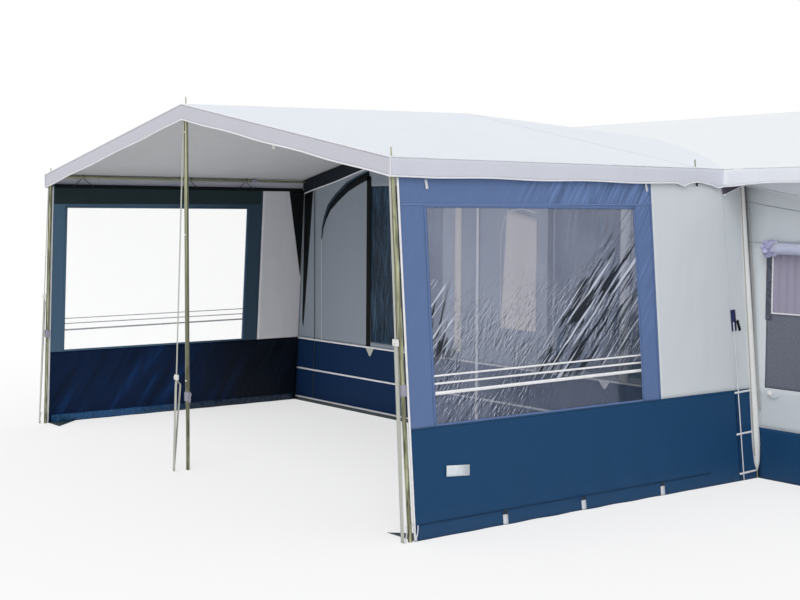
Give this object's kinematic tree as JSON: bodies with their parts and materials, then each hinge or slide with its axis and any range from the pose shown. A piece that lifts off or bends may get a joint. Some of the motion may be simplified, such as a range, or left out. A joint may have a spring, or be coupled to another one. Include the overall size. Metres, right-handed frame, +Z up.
{
  "type": "caravan awning",
  "caption": "Caravan awning with a gabled open-front canopy on telescopic steel uprights, windowed cloth side walls, valances, storm straps and a main awning with a roof that meets the caravan.",
  "frame": {"origin": "on the ground, at the foot of the canopy's centre upright", "axes": "+X to the right along the canopy's open front as seen from outside, +Y from the front towards the caravan, +Z up"},
  "size_m": [5.8163, 5.2073, 2.49],
  "materials": {
    "roof_cloth": "coated woven cloth, satin",
    "valance_cloth": "coated woven cloth, matt",
    "wall_cloth": "coated woven cloth, matt",
    "band_cloth": "coated woven cloth, satin",
    "grey_cloth": "coated woven cloth, matt",
    "clear_film": "clear film, glossy",
    "tinted_film": "tinted film, glossy",
    "blind_cloth": "rolled cloth, matt",
    "zinc_steel": "passivated zinc, satin",
    "clamp_plastic": "moulded, matt",
    "strap_web": "woven webbing",
    "buckle_plastic": "moulded, satin",
    "flap_cloth": "coated cloth, matt"
  },
  "bodies": {
    "awning": {"canopy_roof": "roof_cloth", "main_roof": "roof_cloth", "canopy_valance": "valance_cloth", "main_valance": "valance_cloth", "left_wall_upper": "wall_cloth", "right_wall_upper": "wall_cloth", "left_wall_band": "band_cloth", "right_wall_band": "band_cloth", "centre_wall_band": "band_cloth", "outer_wall_band": "band_cloth", "centre_wall_upper": "grey_cloth", "outer_wall_upper": "grey_cloth", "left_end_wall": "grey_cloth", "right_end_wall": "grey_cloth", "left_wall_window": "clear_film", "right_wall_window": "clear_film", "centre_wall_left_window": "tinted_film", "centre_wall_right_window": "tinted_film", "outer_wall_window": "tinted_film", "blind_roll": "blind_cloth", "left_corner_flap": "flap_cloth", "right_corner_flap": "flap_cloth", "centre_upright": "zinc_steel", "centre_clamp_collar": "clamp_plastic", "centre_strap": "strap_web", "centre_strap_buckle": "buckle_plastic", "left_upright": "zinc_steel", "left_clamp_collar": "clamp_plastic", "left_strap": "strap_web", "left_strap_buckle": "buckle_plastic", "right_upright": "zinc_steel", "right_clamp_collar": "clamp_plastic", "right_strap": "strap_web", "right_strap_buckle": "buckle_plastic", "left_gable_pole": "zinc_steel", "left_eave_pole_front": "zinc_steel", "left_eave_pole_rear": "zinc_steel", "main_left_upright": "zinc_steel", "main_left_gable_pole": "zinc_steel", "main_left_rafter": "zinc_steel", "left_eave_clamp": "clamp_plastic", "right_gable_pole": "zinc_steel", "right_eave_pole_front": "zinc_steel", "right_eave_pole_rear": "zinc_steel", "main_right_upright": "zinc_steel", "main_right_gable_pole": "zinc_steel", "main_right_rafter": "zinc_steel", "right_eave_clamp": "clamp_plastic", "ridge_pole_front": "zinc_steel", "ridge_pole_rear": "zinc_steel", "main_ridge_pole": "zinc_steel", "main_end_upright": "zinc_steel", "main_end_rafter": "zinc_steel", "main_front_pole": "zinc_steel"},
    "centre_leg_body": {"centre_leg": "zinc_steel"},
    "centre_lever_body": {"centre_clamp_lever": "clamp_plastic"},
    "left_leg_body": {"left_leg": "zinc_steel"},
    "left_lever_body": {"left_clamp_lever": "clamp_plastic"},
    "right_leg_body": {"right_leg": "zinc_steel"},
    "right_lever_body": {"right_clamp_lever": "clamp_plastic"}
  },
  "joints": [
    {"name": "centre_leg_slide", "type": "slide", "parent": "awning", "child": "centre_leg_body", "axis": [0, 0, 1], "range_m": [-0.2, 0.4]},
    {"name": "centre_lever_hinge", "type": "hinge", "parent": "awning", "child": "centre_lever_body", "pos_m": [0.0285, 0, 0.488], "axis": [0, -1, 0], "range_deg": [0, 120]},
    {"name": "left_leg_slide", "type": "slide", "parent": "awning", "child": "left_leg_body", "axis": [0.0875, 0, 0.9962], "range_m": [-0.2, 0.4]},
    {"name": "left_lever_hinge", "type": "hinge", "parent": "awning", "child": "left_lever_body", "pos_m": [-2.23509, 0, 0.72046], "axis": [0, -1, 0], "range_deg": [0, 120]},
    {"name": "right_leg_slide", "type": "slide", "parent": "awning", "child": "right_leg_body", "axis": [-0.0875, 0, 0.9962], "range_m": [-0.2, 0.4]},
    {"name": "right_lever_hinge", "type": "hinge", "parent": "awning", "child": "right_lever_body", "pos_m": [2.2307, 0, 0.77046], "axis": [0, 1, 0], "range_deg": [0, 120]}
  ]
}
